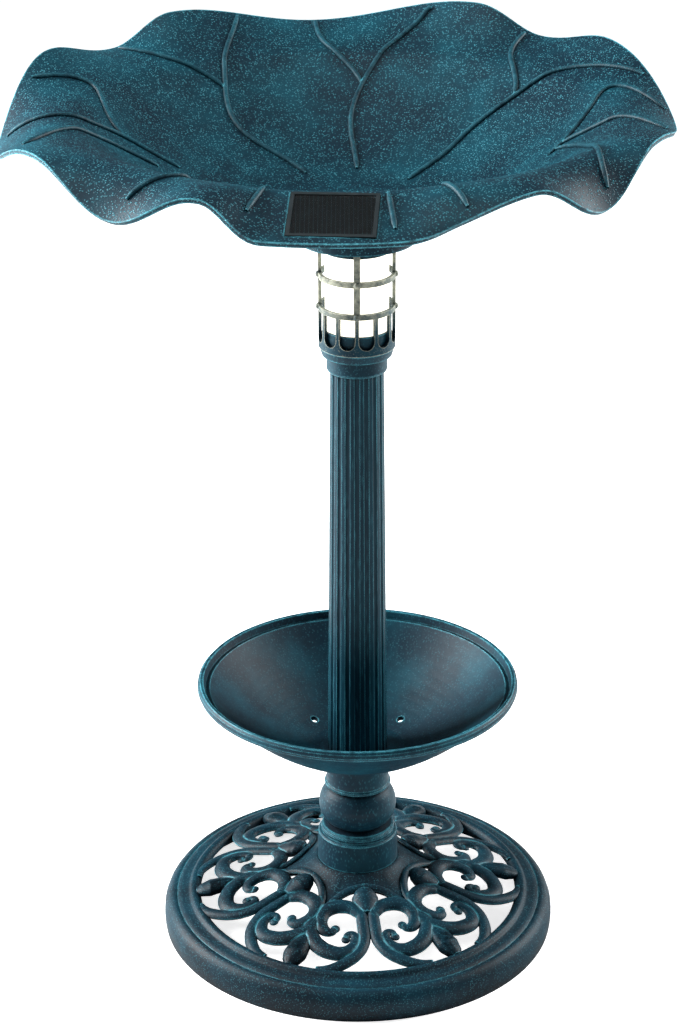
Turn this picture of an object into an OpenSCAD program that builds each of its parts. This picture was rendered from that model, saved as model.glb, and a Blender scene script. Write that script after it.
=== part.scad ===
// Solar bird bath on a column, with a planter dish and a lantern under the basin.
// Millimetres, Z up, the front is -Y. The origin is on the ground, halfway between the leaf's
// left and right tips; the column's axis stands a little to the right of it.

/* [Foot] */
// Radius of the round foot at the ground
base_r = 165; // [140:1:200]
// Height of the foot's outer rim
base_rim_h = 22; // [18:1:30]
// Width of the foot's solid outer rim
base_rim_w = 24; // [20:1:28]
// Height of the hub that the neck stands on
hub_h = 58; // [50:1:70]
// Wall of the foot's cone and rim
base_wall = 5; // [4:0.5:7]
// Number of scroll pairs around the foot
motif_n = 6; // [5:1:7]
// Direction that the front scroll pair points in, degrees
motif_az = -84; // [-90:1:-60]

/* [Neck] */
// Height of the baluster neck
neck_h = 98; // [80:1:130]
// Radius at the bottom of the neck
neck_r = 33.8; // [32:0.2:40]
// Radius of the neck's ball
ball_r = 32.4; // [29:0.2:38]
// Wall of the neck
neck_wall = 3; // [2.5:0.5:4]

/* [Planter] */
// Outer radius of the planter dish
planter_r = 132; // [110:1:160]
// Height of the dish from its seat to its rim
planter_h = 70; // [55:1:90]
// Wall of the dish
planter_wall = 3; // [2.5:0.5:5]
// Height of the rolled band around the rim
planter_band_h = 9; // [6:1:14]
// Radius of a drain hole
drain_r = 3; // [2:0.5:4]

/* [Column] */
// Length of the fluted column
column_h = 342; // [260:1:440]
// Outer radius at the column's foot
column_r1 = 24.6; // [24:0.1:26]
// Outer radius at the column's head
column_r2 = 21; // [20.6:0.1:22]
// Wall of the column
column_wall = 2.8; // [2.4:0.2:3.2]
// Number of flutes
flute_n = 18; // [12:1:20]
// Radius of a flute's round bottom
flute_r = 2.7; // [2.2:0.1:3]
// Depth of a flute
flute_d = 1.1; // [0.6:0.1:1.4]
// Radius of the tie rod
rod_r = 4; // [3:0.5:5]

/* [Lantern] */
// Outer radius of the lantern cage
cage_r = 30; // [29:0.5:34]
// Height of the cage
cage_h = 86; // [70:1:110]
// Wall of the cage
cage_wall = 2.6; // [2:0.2:3]
// Width of a main upright
upright_w = 5; // [4:0.5:7]
// Height of a cage ring
ring_h = 4.2; // [3:0.2:6]
// Height of the scalloped row above the cage's foot
crown_h = 30; // [26:1:36]
// Radius of the collar around the column's head
collar_r = 23.9; // [23.7:0.1:26]
// Wall of the light diffuser
diffuser_wall = 1.6; // [1.2:0.2:2.4]

/* [Lamp housing] */
// Radius of the round housing under the basin
housing_r = 45.6; // [45:0.2:50]
// Height of the housing
housing_h = 20; // [19.6:0.2:26]
// Wall of the housing
housing_wall = 2.4; // [2:0.2:3]
// Radius of the AA cell
cell_r = 7.1; // [6.8:0.1:7.2]
// Length of the cell's body
cell_l = 48.2; // [47:0.1:48.6]
// Travel of the switch's slider
switch_travel = 3.2; // [2:0.2:4]

/* [Basin] */
// Mean radius of the basin at its crest
crest_r = 201; // [175:1:230]
// Depth from the crest to the basin's floor
basin_depth = 72; // [55:1:90]
// Width of the ruffled lip outside the crest
lip_w = 52; // [50:1:70]
// Height of a usual wave of the lip above or below its mean
wave_h = 12; // [6:1:16]
// How much further out a low reaches than the mean lip
wave_out = 1; // [0:0.5:4]
// How much further the lip reaches to the left than to the right, each way from the middle
tip_reach = 6; // [0:1:12]
// Rise of the lip from the front to the back, each way from the middle
lip_tilt = 16; // [0:1:22]
// How far the leaf shape leans to the left
leaf_lean = 9; // [0:1:14]
// Wall of the basin
bowl_wall = 3.6; // [3:0.2:5]
// Thickness of the flat floor
bowl_floor = 6; // [5:0.5:8]

/* [Solar panel] */
// Width of the panel's glass
panel_w = 55; // [45:1:60]
// Length of the panel's glass, down the lip
panel_l = 45; // [38:1:46]
// Direction of the panel from the column, degrees
panel_az = -94; // [-100:1:-80]
// Fall of the lip under the panel, for each millimetre outwards
panel_fall = 0.327; // [0.2:0.01:0.4]
// How much further the lip reaches below the panel
apron = 7; // [2:1:10]

/* [Fits] */
// Clearance between parts that slot together
fit = 0.4; // [0.2:0.05:0.5]
// Radial clearance of a turning pin
run_fit = 0.06; // [0.03:0.01:0.1]
// Clearance around a screw's shank
screw_fit = 0.15; // [0.1:0.05:0.3]

/* [Hidden] */
$fn = 72;

verdigris = [0.10, 0.36, 0.42];
dark_verdigris = [0.06, 0.24, 0.30];

// heights of the joins, from the ground up
neck_z = hub_h;
planter_z = neck_z + neck_h;
planter_floor = 4;
column_z = planter_z + planter_floor;
column_top = column_z + column_h;
collar_lap = 6;
collar_h = 12;
flange_h = 8;
seat_z = column_top - collar_lap;
cage_z = seat_z + collar_h + flange_h;
cage_top = cage_z + cage_h;
housing_z = cage_top;
bowl_z = housing_z + housing_h;
basin_floor_z = bowl_z + bowl_floor;
crest_z = basin_floor_z + basin_depth;

// ---------------------------------------------------------------- foot

rim_in = base_r - base_rim_w;
cone_r = neck_r + 2.4;
cone_z0 = base_rim_h + 6;
rod_hole_r = rod_r + fit;
hub_plate = 6;
hub_spigot_h = 6;

// Height of the cone's top at radius r
function cone_z(r) = cone_z0 + (hub_h - cone_z0) * (rim_in - r) / (rim_in - cone_r);

module base_shell() {
    rotate_extrude() polygon([
        [rod_hole_r, hub_h - hub_plate], [rod_hole_r, hub_h + hub_spigot_h],
        [neck_r - neck_wall - fit, hub_h + hub_spigot_h], [neck_r - neck_wall - fit, hub_h],
        [cone_r, hub_h], [rim_in, cone_z0], [rim_in + 3, cone_z0],
        [rim_in + 5, base_rim_h + 3], [base_r - 9, base_rim_h + 1.5], [base_r - 4, base_rim_h - 1],
        [base_r - 1, base_rim_h - 5], [base_r, base_rim_h - 10], [base_r, 0],
        [base_r - base_wall, 0], [base_r - base_wall, base_rim_h - base_wall - 4],
        [rim_in + 1, cone_z0 - base_wall - 2], [cone_r - 6, hub_h - hub_plate]]);
}

// Point at distance r from the column's axis, a degrees to the side of a motif's own axis
function polar(r, a) = [r * sin(a), r * cos(a)];

pitch = 360 / motif_n;
// Radius of the ring of scroll eyes, and of one eye
eye_ring = cone_r + 0.58 * (rim_in - cone_r);
eye_a = pitch * 0.26;
eye_r = min(16, 0.27 * eye_ring * sin(pitch / 2) * 2 * 0.6);
tip_r = eye_r * 0.28;

// The eye of one scroll, with the scroll's two curled ends left standing in it
module scroll_eye() {
    translate(polar(eye_ring, eye_a)) rotate(-eye_a) difference() {
        circle(r = eye_r, $fn = 40);
        translate([eye_r * 0.36, -eye_r * 0.12]) circle(r = tip_r, $fn = 20);
        translate([eye_r * 0.36, -eye_r * 0.12 - tip_r * 0.7]) square([eye_r, tip_r * 1.1]);
        translate([-eye_r * 0.5, eye_r * 0.28]) circle(r = tip_r, $fn = 20);
        translate([-eye_r * 1.3, eye_r * 0.28 - tip_r * 0.3]) square([eye_r * 0.8, tip_r * 1.2]);
    }
}

// Openings on one side of a motif's axis
module half_motif() {
    scroll_eye();
    // beside the bud, under the hub's arch
    polygon([polar(cone_r + 24, pitch * 0.20), polar(cone_r + 19.5, pitch * 0.22),
        polar(cone_r + 20, pitch * 0.32), polar(cone_r + 23.4, pitch * 0.388),
        polar(cone_r + 31, pitch * 0.445), polar(cone_r + 26, pitch * 0.35),
        polar(cone_r + 24, pitch * 0.27)]);
    // beside the pointed leaf, against the rim
    polygon([polar(rim_in - 20, pitch * 0.405), polar(rim_in - 15, pitch * 0.33),
        polar(rim_in - 10.5, pitch * 0.21), polar(rim_in - 5, pitch * 0.26),
        polar(rim_in - 3, pitch * 0.33), polar(rim_in - 3, pitch * 0.39),
        polar(rim_in - 10, pitch * 0.41)]);
}

module motif() {
    half_motif();
    mirror([1, 0]) half_motif();
    // between the two stems, against the rim
    polygon([polar(rim_in - 25, 0), polar(rim_in - 13, pitch * 0.045), polar(rim_in - 2, pitch * 0.11),
        polar(rim_in - 1.5, 0), polar(rim_in - 2, -pitch * 0.11), polar(rim_in - 13, -pitch * 0.045)]);
}

// One-piece round foot: rim, pierced scroll work and hub
module base() {
    color(dark_verdigris) difference() {
        base_shell();
        for (i = [0:motif_n - 1]) rotate(motif_az - 90 + i * pitch)
            translate([0, 0, 2]) linear_extrude(hub_h + 20) motif();
    }
}

// ---------------------------------------------------------------- neck

// Hollow turned neck: foot, double ring, ball, and a drum under the planter
module neck() {
    z1 = neck_h * 0.255;
    z2 = neck_h * 0.345;
    z3 = neck_h * 0.70;
    ball = [for (i = [0:10]) let (a = -62 + 124 * i / 10)
        [ball_r - 17 + 17 * cos(a), (z2 + z3) / 2 + (z3 - z2) / 2 * sin(a) / sin(62)]];
    color(verdigris) translate([0, 0, neck_z]) difference() {
        rotate_extrude() polygon(concat(
            [[rod_hole_r, neck_h], [rod_hole_r, neck_h - 4], [ball_r - 12, neck_h - 4],
             [ball_r - 12, z3], [ball_r - 8, (z2 + z3) / 2], [ball_r - 12, z2], [ball_r - 8, z1 - 4],
             [neck_r - neck_wall, z1 - 8], [neck_r - neck_wall, 0]],
            [[neck_r, 0], [neck_r - 0.6, z1 - 1], [neck_r - 1.6, z1], [neck_r - 3.4, z1 + 0.6],
             [neck_r - 3.4, z1 + 1.6], [neck_r - 3, z1 + 3.2], [neck_r - 3.6, z1 + 4.6],
             [neck_r - 5, z1 + 5.4], [neck_r - 4.6, z2 - 1.6]],
            ball,
            [[ball_r - 5.6, z3 + 0.6], [ball_r - 4.8, z3 + 1.6], [ball_r - 4.8, z3 + 3.2],
             [ball_r - 6, z3 + 4.4], [ball_r - 6.4, z3 + 8], [ball_r - 5, neck_h - 4],
             [ball_r - 4, neck_h]]));
    }
}

// ---------------------------------------------------------------- planter

stub_r = column_r1 - column_wall - fit;
stub_h = 16;
dish_flat = ball_r + 1;

// Height of the dish's underside above its seat at radius r
function dish_z(r) = let (s = (r - dish_flat) / (planter_r - 8 - dish_flat))
    (planter_h - planter_band_h) * (0.45 * s + 0.55 * s * s);

// Round shallow dish with a rolled band, a stub for the column and drain holes
module planter() {
    n = 12;
    r1 = planter_r - 8;
    under = [for (i = [0:n]) let (r = dish_flat + (r1 - dish_flat) * i / n) [r, dish_z(r)]];
    over = [for (i = [n:-1:0]) let (r = dish_flat + (r1 - dish_flat) * i / n)
        [r - planter_wall * 0.7, dish_z(r) + max(planter_wall, planter_floor * (1 - i / 2))]];
    color(verdigris) translate([0, 0, planter_z]) difference() {
        rotate_extrude() polygon(concat(
            [[rod_hole_r, planter_floor], [rod_hole_r, 0]],
            under,
            [[planter_r - 5, planter_h - planter_band_h], [planter_r - 1, planter_h - planter_band_h + 1.5],
             [planter_r, planter_h - planter_band_h + 4], [planter_r - 0.6, planter_h - 2],
             [planter_r - 2.4, planter_h], [planter_r - 5, planter_h - 0.4],
             [planter_r - 7, planter_h - planter_band_h + 2.4]],
            over,
            [[stub_r, planter_floor], [stub_r, planter_floor + stub_h],
             [stub_r - 3, planter_floor + stub_h], [stub_r - 3, planter_floor]]));
        for (i = [0:3]) rotate(45 + 90 * i) translate([dish_flat + 18, 0, -5])
            cylinder(r = drain_r, h = 40, $fn = 24);
    }
}

// ---------------------------------------------------------------- column

// Tapered tube with upright flutes
module column() {
    lean = atan((column_r1 - column_r2) / column_h);
    color(verdigris) translate([0, 0, column_z]) difference() {
        cylinder(r1 = column_r1, r2 = column_r2, h = column_h);
        translate([0, 0, -1])
            cylinder(r1 = column_r1 - column_wall, r2 = column_r2 - column_wall, h = column_h + 2);
        for (i = [0:flute_n - 1]) rotate(360 * (i + 0.5) / flute_n)
            translate([column_r1 + flute_r - flute_d, 0, 0]) rotate([0, -lean, 0])
                translate([0, 0, -2]) cylinder(r = flute_r, h = column_h + 4, $fn = 20);
    }
}

// ---------------------------------------------------------------- tie rod

washer_t = 1.6;
nut_h = 6.5;
rod_z0 = hub_h - hub_plate - washer_t - nut_h - 6;
seat_floor_z = seat_z + collar_h + 4;
rod_top = seat_floor_z + washer_t + nut_h + 4;

// Steel rod that clamps foot, neck, planter, column and lantern seat together
module tie_rod() {
    color("silver") translate([0, 0, rod_z0]) cylinder(r = rod_r, h = rod_top - rod_z0, $fn = 32);
}

module ring(ro, ri, h) {
    difference() {
        cylinder(r = ro, h = h);
        translate([0, 0, -1]) cylinder(r = ri, h = h + 2);
    }
}

module rod_washers() {
    color("gainsboro") for (z = [hub_h - hub_plate - washer_t, seat_floor_z])
        translate([0, 0, z]) ring(rod_r * 2.1, rod_r + 0.2, washer_t);
}

module rod_nuts() {
    color("darkgray") for (z = [hub_h - hub_plate - washer_t - nut_h, seat_floor_z + washer_t])
        translate([0, 0, z]) difference() {
            cylinder(r = rod_r * 1.88, h = nut_h, $fn = 6);
            translate([0, 0, -1]) cylinder(r = rod_r + 0.1, h = nut_h + 2);
        }
}

// ---------------------------------------------------------------- lantern

cup_r = cage_r - cage_wall - fit;
cup_wall = 1.8;
cup_h = 15;
diff_r = cup_r - cup_wall - fit;
spigot_h = 8;

// Collar over the column's head, flange under the cage, and the diffuser's cup
module lantern_seat() {
    head_r = column_r2 + (column_r1 - column_r2) * collar_lap / column_h;
    color(verdigris) translate([0, 0, seat_z]) rotate_extrude() polygon([
        [head_r + fit, 0], [collar_r - 0.8, 0], [collar_r, 1.5], [collar_r - 0.2, collar_h],
        [cage_r - 2.6, collar_h + 1], [cage_r - 1.2, collar_h + flange_h - 2.5],
        [cage_r - 0.6, collar_h + flange_h], [cup_r, collar_h + flange_h],
        [cup_r, collar_h + flange_h + cup_h], [cup_r - cup_wall, collar_h + flange_h + cup_h],
        [cup_r - cup_wall, collar_h + 4], [rod_hole_r, collar_h + 4],
        [rod_hole_r, collar_lap], [head_r + fit, collar_lap]]);
}

// Cuts a window in the cage's wall from z0 to z1, over w degrees about the direction a
module window(z0, z1, a, w) {
    rotate(a - w / 2) rotate_extrude(angle = w)
        translate([cage_r - cage_wall - 2, z0]) square([cage_wall + 8, z1 - z0]);
}

// Pierced lantern cage: scalloped crown, two rings, four uprights and their studs
module lantern_cage() {
    row = (cage_h - crown_h - ring_h) / 2;
    z_ring1 = crown_h;
    z_ring2 = crown_h + row;
    upright_a = 2 * asin(upright_w / 2 / cage_r);
    eye = cage_r * sin(30) * 0.42;
    color(verdigris) translate([0, 0, cage_z]) {
        difference() {
            ring(cage_r, cage_r - cage_wall, cage_h);
            for (q = [0:3]) {
                window(z_ring1 + ring_h, z_ring2, 45 + 90 * q, 90 - upright_a);
                window(z_ring2 + ring_h, cage_h - ring_h, 45 + 90 * q, 90 - upright_a);
            }
            for (i = [0:11]) {
                window(eye + 5, z_ring1, 15 + 30 * i, 24);
                rotate(15 + 30 * i) translate([cage_r - cage_wall - 3, 0, eye + 5])
                    rotate([0, 90, 0]) cylinder(r = eye * 0.98, h = cage_wall + 8, $fn = 32);
            }
        }
        for (q = [0:3], z = [z_ring1, z_ring2]) rotate(90 * q)
            translate([cage_r - 0.6, 0, z + ring_h / 2]) sphere(r = upright_w * 0.55, $fn = 20);
    }
}

// Translucent tube around the light
module diffuser() {
    color([1, 0.98, 0.9, 0.6]) translate([0, 0, seat_floor_z])
        ring(diff_r, diff_r - diffuser_wall, cage_top - 1.5 - seat_floor_z);
}

// ---------------------------------------------------------------- lamp housing

house_in = housing_r - housing_wall;
roof_z = bowl_z - housing_wall;
cover_t = 2.4;
deck_z = housing_z + cover_t;
board_z = roof_z - 4.6;
board_t = 1.6;
screw_r = 1.4;
head_r = 2.8;
pillar_r = 3.2;
pillar_at = housing_r - 7.6;
pillars = [25, 155, 270];
roof_screws = [[21, 0], [-21, 0], [0, -21]];
board_posts = [[14, -28], [-14, -28]];
door_w = 53;
door_t = 1.8;
// the flat at the back of the housing, where the door stands
flat_y = sqrt(housing_r * housing_r - pow(door_w / 2 + 0.5, 2));
pivot_y = flat_y - 0.5;
pivot_z = deck_z;
bead_r = 1.6;
pin_r = 0.9;
ear_w = 3;
cell_y = flat_y - door_t - 0.4 - cell_r;
cell_z = (deck_z + roof_z) / 2;
switch_x = 37.5;
window_r = 14.4;
wire_r = 1.6;
wire_az = 14;
wire_z = housing_z + housing_h * 0.5;

// Round cup under the basin, with a flat at the back for the battery door
module lamp_housing() {
    color(dark_verdigris) difference() {
        union() {
            difference() {
                translate([0, 0, housing_z]) cylinder(r = housing_r, h = housing_h);
                translate([0, 0, housing_z - 1]) cylinder(r = house_in, h = roof_z - housing_z + 1);
                translate([-door_w / 2 - 0.4, cell_y, housing_z - 1])
                    cube([door_w + 0.8, housing_r, roof_z - housing_z + 1]);
            }
            for (a = pillars) rotate(a) translate([pillar_at, 0, deck_z])
                cylinder(r = pillar_r, h = roof_z - deck_z + 0.5, $fn = 24);
            for (p = board_posts) translate([p[0], p[1], board_z + board_t])
                cylinder(r = 2.6, h = roof_z - board_z - board_t + 0.5, $fn = 24);
            for (s = [-1, 1])
                translate([s * (door_w / 2 + 0.4 - ear_w / 2) - ear_w / 2, pivot_y - 1.9, housing_z + 0.4])
                    cube([ear_w, 3.8, 4.6]);
        }
        for (a = pillars) rotate(a) translate([pillar_at, 0, deck_z - 1])
            cylinder(r = screw_r + screw_fit, h = 11, $fn = 24);
        for (p = roof_screws) translate([p[0], p[1], roof_z - 1])
            cylinder(r = screw_r + screw_fit, h = 10, $fn = 24);
        for (p = board_posts) translate([p[0], p[1], board_z])
            cylinder(r = 1 + screw_fit, h = board_t + 2.4, $fn = 24);
        translate([-housing_r, pivot_y, pivot_z]) rotate([0, 90, 0])
            cylinder(r = pin_r + run_fit, h = 2 * housing_r, $fn = 24);
        rotate(wire_az) translate([house_in - 3, 0, wire_z]) rotate([0, 90, 0])
            cylinder(r = wire_r + 1.4, h = 10, $fn = 24);
    }
}

// A screw with its head at z = 0 and its shank running up
module screw(r, hr, hh, l) {
    translate([0, 0, -hh]) difference() {
        cylinder(r = hr, h = hh, $fn = 24);
        translate([-hr * 0.7, -hr * 0.12, -1]) cube([hr * 1.4, hr * 0.24, 1 + hh * 0.4]);
        translate([-hr * 0.12, -hr * 0.7, -1]) cube([hr * 0.24, hr * 1.4, 1 + hh * 0.4]);
    }
    translate([0, 0, -hh * 0.3]) cylinder(r = r, h = l + hh * 0.3, $fn = 24);
}

module housing_screws() {
    color("silver") for (p = roof_screws) translate([p[0], p[1], roof_z])
        screw(screw_r, head_r, 1.8, housing_wall + bowl_floor - 2.5);
}

// Bottom plate with the light's window, the spigot for the cage and the switch's slot
module housing_cover() {
    color(dark_verdigris) difference() {
        union() {
            translate([0, 0, housing_z]) cylinder(r = house_in - 0.3, h = cover_t);
            translate([0, 0, housing_z - spigot_h]) cylinder(r = cup_r, h = spigot_h + 0.5);
        }
        translate([0, 0, housing_z - spigot_h - 1]) cylinder(r = diff_r + fit, h = spigot_h + 1);
        translate([0, 0, housing_z - 1]) cylinder(r = window_r, h = cover_t + 2);
        translate([0, 0, housing_z + cover_t - 1.4]) cylinder(r = window_r + 1.8, h = 3);
        translate([-door_w / 2 - 1, pivot_y - bead_r - 0.5, housing_z - 1])
            cube([door_w + 2, housing_r, cover_t + 2]);
        for (a = pillars) rotate(a) translate([pillar_at, 0, housing_z - 1]) {
            cylinder(r = screw_r + screw_fit, h = cover_t + 2, $fn = 24);
            cylinder(r = head_r + 0.2, h = 2.4, $fn = 24);
        }
        translate([switch_x - 1.7, -(5.4 + switch_travel + 0.8) / 2, housing_z - 1])
            cube([3.4, 5.4 + switch_travel + 0.8, cover_t + 2]);
    }
}

module cover_screws() {
    color("silver") for (a = pillars) rotate(a) translate([pillar_at, 0, housing_z + 1.4])
        screw(screw_r, head_r, 1.3, 9);
}

module lens_window() {
    color([0.9, 0.95, 1, 0.4]) translate([0, 0, housing_z + cover_t - 1.4])
        cylinder(r = window_r + 1.6, h = 1.4);
}

// Cone that throws the light down into the diffuser
module led_reflector() {
    h = board_z - deck_z - 0.4;
    color("whitesmoke") translate([0, 0, deck_z]) difference() {
        union() {
            cylinder(r = window_r + 1, h = 1);
            cylinder(r1 = window_r - 0.4, r2 = 6, h = h);
        }
        translate([0, 0, -0.01]) cylinder(r1 = window_r - 1.6, r2 = 4.8, h = h + 0.02);
    }
}

module led() {
    color([1, 0.98, 0.85]) translate([0, 0, board_z]) {
        translate([0, 0, -1.2]) cylinder(r = 4.4, h = 1.2, $fn = 32);
        translate([0, 0, -4]) cylinder(r = 3.6, h = 3, $fn = 32);
        translate([0, 0, -4]) sphere(r = 3.6, $fn = 32);
    }
}

module circuit_board() {
    color("darkgreen") difference() {
        union() {
            translate([-17.5, -32, board_z]) cube([35, 41, board_t]);
            translate([-12, -26, board_z - 2]) cube([6, 5, 2]);
            translate([4, -24, board_z - 3]) cylinder(r = 2.6, h = 3, $fn = 24);
            translate([8, -16, board_z - 1.4]) cube([7, 3, 1.4]);
        }
        for (p = board_posts) translate([p[0], p[1], board_z - 1])
            cylinder(r = 1 + screw_fit, h = board_t + 2, $fn = 24);
    }
}

module board_screws() {
    color("silver") for (p = board_posts) translate([p[0], p[1], board_z])
        screw(1, 2, 1.2, board_t + 2);
}

// End walls and back wall that hold the cell
module battery_holder() {
    xe = cell_l / 2 + 1.3;
    color("dimgray") translate([0, 0, deck_z + 0.2]) difference() {
        translate([-xe - 1.6, cell_y - cell_r - 1.8, 0])
            cube([2 * xe + 3.2, cell_r * 2 + 0.2, roof_z - deck_z - 0.2]);
        translate([-xe, cell_y - cell_r - 0.4, -1])
            cube([2 * xe, cell_r * 2 + 8, roof_z - deck_z + 2]);
    }
}

module battery_contacts() {
    xe = cell_l / 2 + 1.3;
    color("gold") {
        translate([-xe, cell_y - 5, cell_z - 5]) cube([0.5, 10, 10]);
        translate([-xe + 0.4, cell_y, cell_z]) rotate([0, 90, 0]) ring(3, 2.2, 0.8);
        translate([xe - 0.5, cell_y - 5, cell_z - 5]) cube([0.5, 10, 10]);
    }
}

module battery() {
    color("seagreen") translate([-cell_l / 2 - 0.1, cell_y, cell_z]) rotate([0, 90, 0]) {
        cylinder(r = cell_r, h = cell_l - 0.6, $fn = 48);
        cylinder(r = 2.7, h = cell_l + 0.8, $fn = 32);
    }
}

// Flap at the back that turns down on a pin along its lower edge
module battery_door() {
    top = roof_z - 0.3;
    w = door_w - 2 * ear_w - 0.6;
    color(dark_verdigris) difference() {
        union() {
            translate([-w / 2, pivot_y - 0.9, pivot_z]) cube([w, door_t, top - pivot_z]);
            translate([-door_w / 2, pivot_y - 0.9, pivot_z + 3.6])
                cube([door_w, door_t, top - pivot_z - 3.6]);
            translate([-w / 2, pivot_y, pivot_z]) rotate([0, 90, 0])
                cylinder(r = bead_r, h = w, $fn = 32);
            translate([-6, pivot_y + 0.5, top - 3]) cube([12, 1.9, 1.4]);
        }
        translate([-w, pivot_y, pivot_z]) rotate([0, 90, 0])
            cylinder(r = pin_r + run_fit, h = 2 * w, $fn = 24);
    }
}

module door_pin() {
    color("silver") translate([-door_w / 2, pivot_y, pivot_z]) rotate([0, 90, 0])
        cylinder(r = pin_r, h = door_w, $fn = 24);
}

module switch_body() {
    slot = 6.4 + switch_travel + 0.6;
    color("black") translate([switch_x, 0, deck_z]) difference() {
        translate([-3.8, -slot / 2 - 1.2, 0]) cube([7.6, slot + 2.4, 5]);
        translate([-2.4, -slot / 2, -1]) cube([4.8, slot, 3.4]);
    }
}

module switch_slider() {
    color("darkorange") translate([switch_x, -switch_travel / 2, 0]) {
        translate([-2.2, -3.2, deck_z + 0.2]) cube([4.4, 6.4, 1.8]);
        translate([-1.4, -2.7, housing_z - 1.4]) cube([2.8, 5.4, cover_t + 2]);
    }
}

// ---------------------------------------------------------------- basin

rings_in = 13;
rings_lip = 8;
steps = 120;

// Leaf outline: radius of the crest, and radius and height of the lip's edge, in direction a
function crest(a) = crest_r - leaf_lean * cos(a);
// The ruffled edge's lows and highs in turn: direction, and how many usual waves below or above the mean
lip_turns = [[-178, -2.3], [-148, 0.9], [-130, -1.2], [-115, 1.1], [-84, -0.8], [-60, 0.9], [-45, -1.5],
    [-28, 0.9], [0, -1], [33, 1], [52, -0.3], [66, 1.2], [98, -0.6], [126, 1], [138, -0.6], [157, 1]];
function turn_at(i) = i < len(lip_turns) ? lip_turns[i] : lip_turns[0] + [360, 0];
function swing(a, p, q) = p[1] + (q[1] - p[1]) * (1 - cos(180 * (a - p[0]) / (q[0] - p[0]))) / 2;
function wave(a) = let (b = (a - lip_turns[0][0] + 720) % 360 + lip_turns[0][0],
        i = max([for (k = [0:len(lip_turns) - 1]) if (lip_turns[k][0] <= b) k]))
    swing(b, turn_at(i), turn_at(i + 1));
function edge_r(a) = crest(a) + lip_w - tip_reach * cos(a) - wave_out * wave(a) + apron * flat(a);
function edge_z(a) = crest_z + 5 + lip_tilt * sin(a) + wave_h * wave(a);
// How much the lip is flattened for the panel in direction a: 1 at the panel, 0 away from it
function turn(a) = abs((a - panel_az + 540) % 360 - 180);
function flat(a) = let (t = turn(a), w = asin((panel_w / 2 + 8) / crest_r))
    t < w ? 1 : t > w * 2 ? 0 : (1 + cos(180 * (t - w) / w)) / 2;

// Share of the crest's radius that the flat floor takes
floor_u = 0.25;
// A point of the upper face: u runs from 0 at the middle to 1 at the crest and 2 at the edge
function top_r(u, a) = u <= 1 ? crest(a) * u : crest(a) + (edge_r(a) - crest(a)) * (u - 1);
function lip_rise(v, a) = v * (1 - v) * 20 + (edge_z(a) - crest_z) * v * v;
function top_z(u, a) = u <= floor_u ? basin_floor_z
    : u <= 1 ? basin_floor_z + basin_depth * pow((u - floor_u) / (1 - floor_u), 1.5)
    : crest_z + lip_rise(u - 1, a) * (1 - flat(a))
        - panel_fall * (top_r(u, a) - crest(a)) * flat(a);
function slope(u, a) = let (d = 0.02, u0 = max(u - d, 0), u1 = min(u + d, 2))
    atan2(top_z(u1, a) - top_z(u0, a), top_r(u1, a) - top_r(u0, a));
function thick(u) = u < floor_u ? bowl_floor
    : u < 0.45 ? bowl_floor + (bowl_wall - bowl_floor) * (u - floor_u) / (0.45 - floor_u) : bowl_wall;
function levels() = concat(
    [for (i = [1:rings_in]) i < 4 ? floor_u * i / 3 : floor_u + (1 - floor_u) * (i - 3) / (rings_in - 3)],
    [for (i = [1:rings_lip]) 1 + i / rings_lip]);
function over(u, a) = [top_r(u, a) * cos(a), top_r(u, a) * sin(a), top_z(u, a)];
function under(u, a) = let (s = u <= floor_u ? 0 : slope(u, a), r = top_r(u, a) + thick(u) * sin(s))
    [r * cos(a), r * sin(a), u <= floor_u ? bowl_z : top_z(u, a) - thick(u) * cos(s)];

module leaf_shell() {
    us = levels();
    m = len(us);
    pts = concat([[0, 0, basin_floor_z]],
        [for (u = us, j = [0:steps - 1]) over(u, 360 * j / steps)],
        [for (i = [m - 1:-1:0], j = [0:steps - 1]) under(us[i], 360 * j / steps)],
        [[0, 0, bowl_z]]);
    last = len(pts) - 1;
    faces = concat(
        [for (j = [0:steps - 1]) [0, 1 + (j + 1) % steps, 1 + j]],
        [for (i = [0:2 * m - 2], j = [0:steps - 1]) let (a = 1 + i * steps, b = (j + 1) % steps)
            [a + j, a + b, a + steps + j]],
        [for (i = [0:2 * m - 2], j = [0:steps - 1]) let (a = 1 + i * steps, b = (j + 1) % steps)
            [a + b, a + steps + b, a + steps + j]],
        [for (j = [0:steps - 1]) [last, last - steps + j, last - steps + (j + 1) % steps]]);
    polyhedron(pts, faces, convexity = 6);
}

panel_edge = 3;
seat_drop = 1.6;
panel_mid = crest(panel_az) + 2 + panel_l / 2 + panel_edge;
panel_z = crest_z - panel_fall * (panel_mid - crest(panel_az));
panel_tilt = atan(panel_fall);

// Places its children on the panel: X across, Y down the lip, Z out of the glass
module at_panel() {
    rotate(panel_az) translate([panel_mid, 0, panel_z]) rotate([0, panel_tilt, 0])
        rotate(90) mirror([0, 1, 0]) children();
}

module plate(w, l, h) { translate([-w / 2, -l / 2, 0]) cube([w, l, h]); }

frame_w = panel_w + 2 * panel_edge;
frame_l = panel_l + 2 * panel_edge;
well_w = panel_w + 2.4;
well_l = panel_l + 2.4;

// Leaf-shaped basin with a rolled, ruffled lip and the seat for the solar panel
module bowl() {
    color(verdigris) difference() {
        leaf_shell();
        at_panel() {
            translate([0, 0, -seat_drop]) plate(frame_w + 0.6, frame_l + 0.6, 12);
            translate([0, 0, -14]) plate(well_w + 0.6, well_l + 0.6, 14);
        }
        for (p = roof_screws) translate([p[0], p[1], bowl_z - 1])
            cylinder(r = screw_r + screw_fit, h = bowl_floor - 1, $fn = 24);
    }
}

// ---------------------------------------------------------------- solar panel

seal_t = 0.5;
glass_t = 1.2;
cells_t = 0.6;
well_h = 7;
back_t = 1.8;
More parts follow.
